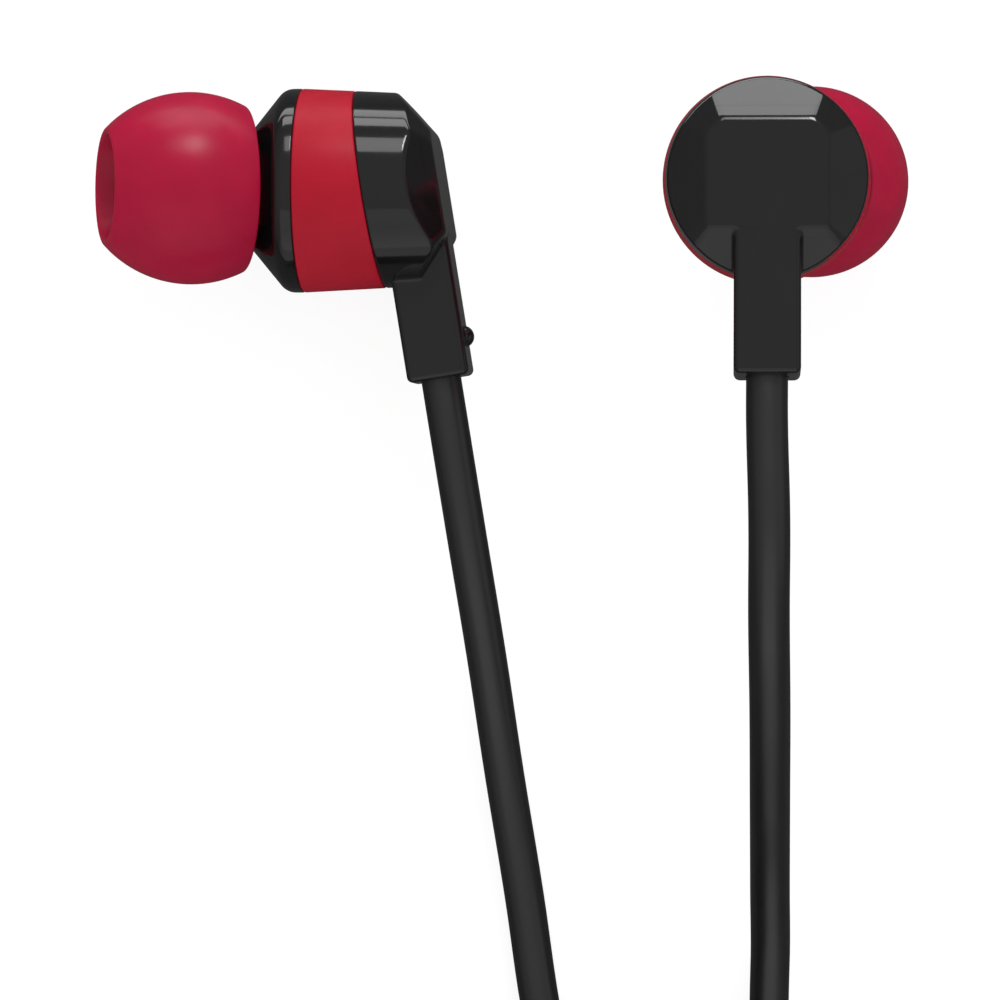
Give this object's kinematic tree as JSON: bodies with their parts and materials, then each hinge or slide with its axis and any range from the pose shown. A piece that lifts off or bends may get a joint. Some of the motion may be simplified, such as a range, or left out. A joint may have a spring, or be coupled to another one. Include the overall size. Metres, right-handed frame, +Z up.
{
  "type": "wired earphones",
  "caption": "Wired in-ear earphones with angled nozzles, silicone ear tips, coloured bands, keyhole-shaped back covers with stems, wound cords, splitter and 3.5 mm plug.",
  "frame": {"origin": "on the surface that the earphones lie on, under the middle of the box round the two earpieces", "axes": "+X from the left earpiece to the right one, +Y from the cords towards the earpieces, +Z up"},
  "size_m": [0.0559, 0.1688, 0.0238],
  "materials": {
    "shell_black": "polished",
    "band_red": "satin",
    "tip_silicone": "satin, translucent",
    "mesh_steel": "fine woven",
    "cord_black": "matte",
    "tie_rubber": "matte",
    "boot_rubber": "matte",
    "fitting_black": "fine matte",
    "gold": "gold plated, polished",
    "insulator": "smooth",
    "frame_plastic": "moulded",
    "film": "thin clear film",
    "foam": "foam",
    "copper": "enamelled copper",
    "steel": "zinc plated",
    "magnet_nickel": "nickel plated",
    "board": "solder mask"
  },
  "bodies": {
    "earphones": {"left_nozzle_mesh": "mesh_steel", "left_front_shell": "shell_black", "left_accent_band": "band_red", "left_rear_shell": "shell_black", "left_back_cover": "shell_black", "left_driver_gasket": "foam", "left_driver_frame": "frame_plastic", "left_top_plate": "steel", "left_magnet": "magnet_nickel", "left_yoke": "steel", "left_terminal_board": "board", "left_lead_wires": "copper", "left_cord_anchor": "cord_black", "left_cord_upper": "cord_black", "left_cord_coil": "cord_black", "left_cord_lower": "cord_black", "right_nozzle_mesh": "mesh_steel", "right_front_shell": "shell_black", "right_accent_band": "band_red", "right_rear_shell": "shell_black", "right_back_cover": "shell_black", "right_driver_gasket": "foam", "right_driver_frame": "frame_plastic", "right_top_plate": "steel", "right_magnet": "magnet_nickel", "right_yoke": "steel", "right_terminal_board": "board", "right_lead_wires": "copper", "right_cord_anchor": "cord_black", "right_cord_upper": "cord_black", "right_cord_coil": "cord_black", "right_cord_lower": "cord_black", "leg_coil_tie": "tie_rubber", "cord_splitter": "fitting_black", "main_cord_head": "cord_black", "main_cord_coil": "cord_black", "main_coil_tie": "tie_rubber", "main_cord_tail": "cord_black", "plug_boot": "boot_rubber", "plug_grip": "fitting_black", "plug_sleeve": "gold", "plug_ring": "gold", "plug_insulators": "insulator", "plug_tip": "gold"},
    "left_tip": {"left_ear_tip": "tip_silicone"},
    "right_tip": {"right_ear_tip": "tip_silicone"},
    "left_cone": {"left_diaphragm": "film", "left_voice_coil": "copper"},
    "right_cone": {"right_diaphragm": "film", "right_voice_coil": "copper"}
  },
  "joints": [
    {"name": "left_tip_pull", "type": "slide", "parent": "earphones", "child": "left_tip", "axis": [-0.9659, 0, 0.2588], "range_m": [0, 0.01]},
    {"name": "right_tip_pull", "type": "slide", "parent": "earphones", "child": "right_tip", "axis": [0.3907, 0.0482, -0.9192], "range_m": [0, 0.01]},
    {"name": "left_cone_move", "type": "slide", "parent": "earphones", "child": "left_cone", "axis": [-0.9962, 0, -0.0872], "range_m": [-0.0001, 0.0001], "stiffness_N_per_m": 800},
    {"name": "right_cone_move", "type": "slide", "parent": "earphones", "child": "right_cone", "axis": [0.0523, 0.0523, -0.9973], "range_m": [-0.0001, 0.0001], "stiffness_N_per_m": 800}
  ]
}
